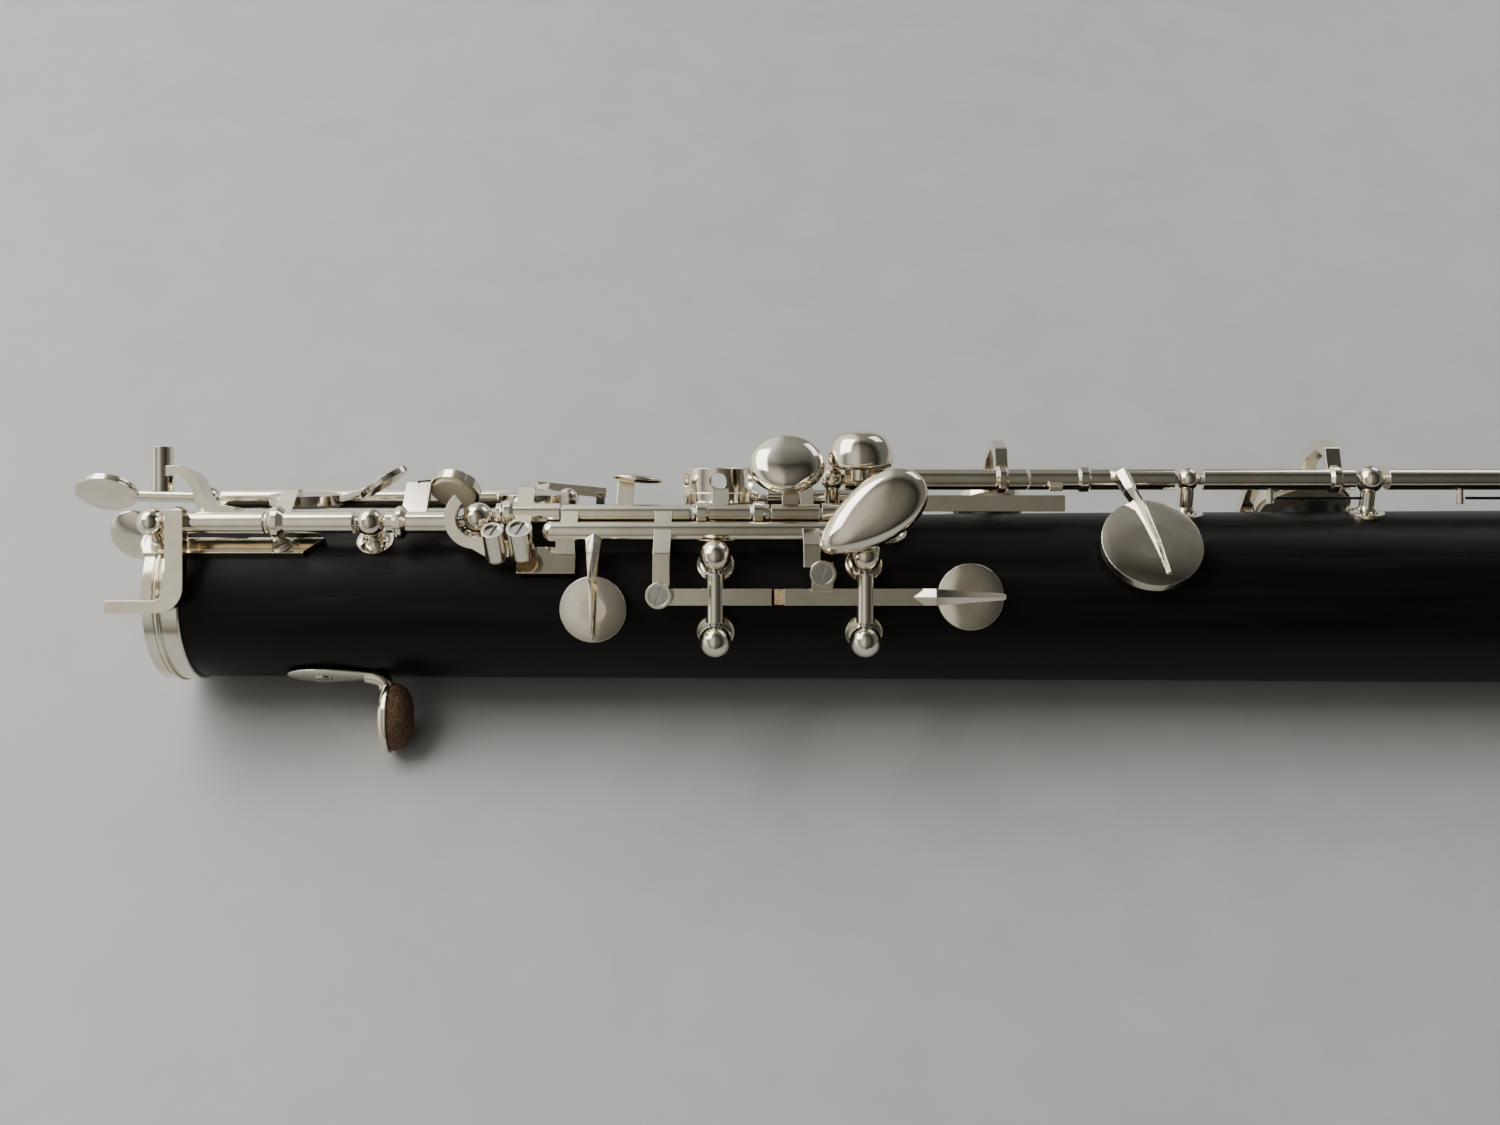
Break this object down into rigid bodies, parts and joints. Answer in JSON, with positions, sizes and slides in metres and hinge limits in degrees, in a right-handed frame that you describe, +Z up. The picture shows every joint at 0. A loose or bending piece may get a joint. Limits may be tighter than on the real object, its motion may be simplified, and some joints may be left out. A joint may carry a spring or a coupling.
{
  "type": "oboe lower joint",
  "caption": "Lower joint of an oboe: a wooden tube with socket, corked tenon and sprung keywork of hinged keys, pads and levers.",
  "frame": {"origin": "centre of the socket's open face, on the bore's axis", "axes": "+X along the bore from the socket to the tenon, +Z up as the joint lies on a table"},
  "size_m": [0.2775, 0.0434, 0.039],
  "materials": {
    "grenadilla": "satin",
    "silver_plate": "polished",
    "steel": "turned",
    "blued_steel": "blued",
    "cork": "matte",
    "dark_cork": "worn",
    "pad_skin": "matte"
  },
  "bodies": {
    "joint": {"body_tube": "grenadilla", "tenon_cork": "cork", "socket_ring": "silver_plate", "tenon_ring": "silver_plate", "socket_strap": "silver_plate", "mounting_screws": "steel", "thumb_rest": "silver_plate", "thumb_rest_cork": "dark_cork", "upper_rod_posts": "silver_plate", "middle_rod_post": "silver_plate", "lower_rod_posts": "silver_plate", "left_rod_posts": "silver_plate", "lever_posts": "silver_plate", "rod_upper": "steel", "rod_middle": "steel", "rod_lower": "steel", "rod_left_short": "steel", "rod_c_sharp": "steel", "rod_left_link": "steel", "rod_left_long": "steel", "lever_rods": "steel", "needle_springs": "blued_steel", "spring_stub": "silver_plate"},
    "bridge_key": {"bridge_key": "silver_plate", "bridge_cork": "cork"},
    "f_sharp_key": {"f_sharp_key": "silver_plate", "f_sharp_pad": "pad_skin"},
    "trill_key": {"trill_key": "silver_plate", "trill_pad": "pad_skin", "trill_screw": "steel", "trill_foot_cork": "cork"},
    "e_key": {"e_key": "silver_plate", "e_pad": "pad_skin", "e_screw": "steel", "e_foot_cork": "cork"},
    "f_key": {"f_key": "silver_plate", "f_pad": "pad_skin", "f_screws": "steel"},
    "d_key": {"d_key": "silver_plate", "d_pad": "pad_skin"},
    "c_sharp_key": {"c_sharp_key": "silver_plate"},
    "d_sharp_key": {"d_sharp_key": "silver_plate"},
    "c_key": {"c_key": "silver_plate", "c_pad": "pad_skin"},
    "d_sharp_pad_key": {"d_sharp_pad_key": "silver_plate", "d_sharp_pad": "pad_skin"},
    "low_b_key": {"low_b_key": "silver_plate", "low_b_pad": "pad_skin"},
    "low_vent_key": {"low_vent_key": "silver_plate", "low_vent_pad": "pad_skin"},
    "c_sharp_pad_key": {"c_sharp_pad_key": "silver_plate", "c_sharp_pad": "pad_skin"},
    "left_upper_lever": {"left_upper_lever": "silver_plate"},
    "left_lower_lever": {"left_lower_lever": "silver_plate"},
    "low_b_link": {"low_b_link": "silver_plate"},
    "left_vent_lever": {"left_vent_lever": "silver_plate", "left_vent_cork": "cork"},
    "right_vent_lever": {"right_vent_lever": "silver_plate", "vent_pad": "pad_skin", "right_vent_cork": "cork"}
  },
  "joints": [
    {"name": "bridge_key_turn", "type": "hinge", "parent": "joint", "child": "bridge_key", "pos_m": [0.011, 0.00075, 0.0163], "axis": [1, 0, 0], "range_deg": [-4, 0], "stiffness_Nm_per_rad": 0.005, "springref_deg": 17.19},
    {"name": "f_sharp_key_turn", "type": "hinge", "parent": "joint", "child": "f_sharp_key", "pos_m": [0.025, 0.00075, 0.0163], "axis": [1, 0, 0], "range_deg": [-4.3, 0], "stiffness_Nm_per_rad": 0.005, "springref_deg": 17.19},
    {"name": "trill_key_turn", "type": "hinge", "parent": "joint", "child": "trill_key", "pos_m": [0.041, 0.00075, 0.0163], "axis": [1, 0, 0], "range_deg": [-4, 0], "stiffness_Nm_per_rad": 0.005, "springref_deg": 17.19},
    {"name": "e_key_turn", "type": "hinge", "parent": "joint", "child": "e_key", "pos_m": [0.056, 0.00267, 0.01595], "axis": [1, 0, 0], "range_deg": [-4.6, 0], "stiffness_Nm_per_rad": 0.005, "springref_deg": 17.19},
    {"name": "f_key_turn", "type": "hinge", "parent": "joint", "child": "f_key", "pos_m": [0.07, 0.00267, 0.01595], "axis": [1, 0, 0], "range_deg": [-4, 0], "stiffness_Nm_per_rad": 0.005, "springref_deg": 17.19},
    {"name": "d_key_turn", "type": "hinge", "parent": "joint", "child": "d_key", "pos_m": [0.086, 0.00267, 0.01595], "axis": [1, 0, 0], "range_deg": [-4.4, 0], "stiffness_Nm_per_rad": 0.005, "springref_deg": 17.19},
    {"name": "c_sharp_key_turn", "type": "hinge", "parent": "joint", "child": "c_sharp_key", "pos_m": [0.095, 0.00267, 0.01595], "axis": [1, 0, 0], "range_deg": [-3, 0], "stiffness_Nm_per_rad": 0.005, "springref_deg": 17.19},
    {"name": "d_sharp_key_turn", "type": "hinge", "parent": "joint", "child": "d_sharp_key", "pos_m": [0.103, 0.00267, 0.01595], "axis": [1, 0, 0], "range_deg": [0, 4], "stiffness_Nm_per_rad": 0.005, "springref_deg": -17.19},
    {"name": "c_key_turn", "type": "hinge", "parent": "joint", "child": "c_key", "pos_m": [0.115, 0.01035, 0.01521], "axis": [1, 0, 0], "range_deg": [-6, 0], "stiffness_Nm_per_rad": 0.005, "springref_deg": 17.19},
    {"name": "d_sharp_pad_key_turn", "type": "hinge", "parent": "joint", "child": "d_sharp_pad_key", "pos_m": [0.141, 0.01035, 0.01521], "axis": [1, 0, 0], "range_deg": [-4.8, 0], "stiffness_Nm_per_rad": 0.005, "springref_deg": 17.19},
    {"name": "low_b_key_turn", "type": "hinge", "parent": "joint", "child": "low_b_key", "pos_m": [0.168, 0.01035, 0.01521], "axis": [1, 0, 0], "range_deg": [-5.5, 0], "stiffness_Nm_per_rad": 0.005, "springref_deg": 17.19},
    {"name": "low_vent_key_turn", "type": "hinge", "parent": "joint", "child": "low_vent_key", "pos_m": [0.205, 0.01035, 0.01521], "axis": [1, 0, 0], "range_deg": [-5.5, 0], "stiffness_Nm_per_rad": 0.005, "springref_deg": 17.19},
    {"name": "c_sharp_pad_key_turn", "type": "hinge", "parent": "joint", "child": "c_sharp_pad_key", "pos_m": [0.101, 0.01576, 0.00487], "axis": [1, 0, 0], "range_deg": [0, 7.5], "stiffness_Nm_per_rad": 0.005, "springref_deg": -17.19},
    {"name": "left_upper_lever_turn", "type": "hinge", "parent": "joint", "child": "left_upper_lever", "pos_m": [0.03, 0.01576, 0.00487], "axis": [1, 0, 0], "range_deg": [-2.5, 0], "stiffness_Nm_per_rad": 0.005, "springref_deg": 17.19},
    {"name": "left_lower_lever_turn", "type": "hinge", "parent": "joint", "child": "left_lower_lever", "pos_m": [0.095, 0.01172, -0.01161], "axis": [1, 0, 0], "range_deg": [0, 4], "stiffness_Nm_per_rad": 0.005, "springref_deg": -17.19},
    {"name": "low_b_link_turn", "type": "hinge", "parent": "joint", "child": "low_b_link", "pos_m": [0.118, 0.0154, -0.00591], "axis": [1, 0, 0], "range_deg": [0, 5], "stiffness_Nm_per_rad": 0.005, "springref_deg": -17.19},
    {"name": "left_vent_lever_turn", "type": "hinge", "parent": "joint", "child": "left_vent_lever", "pos_m": [0.0838, -0.00951, 0.01134], "axis": [0, 0.766, 0.6428], "range_deg": [0, 6.2], "stiffness_Nm_per_rad": 0.005, "springref_deg": -17.19},
    {"name": "right_vent_lever_turn", "type": "hinge", "parent": "joint", "child": "right_vent_lever", "pos_m": [0.1054, -0.00951, 0.01134], "axis": [0, 0.766, 0.6428], "range_deg": [-4.9, 0], "stiffness_Nm_per_rad": 0.005, "springref_deg": 17.19}
  ],
  "couplings": [
    {"joint": "left_vent_lever_turn", "follows": "f_key_turn", "ratio": -1.5},
    {"joint": "right_vent_lever_turn", "follows": "f_key_turn", "ratio": 1.15},
    {"joint": "c_sharp_pad_key_turn", "follows": "c_sharp_key_turn", "ratio": -2.4},
    {"joint": "d_sharp_pad_key_turn", "follows": "d_sharp_key_turn", "ratio": -1.1},
    {"joint": "low_b_link_turn", "follows": "left_upper_lever_turn", "ratio": -1.9},
    {"joint": "low_b_key_turn", "follows": "left_upper_lever_turn", "ratio": 1.2},
    {"joint": "low_vent_key_turn", "follows": "left_lower_lever_turn", "ratio": -1.3}
  ]
}
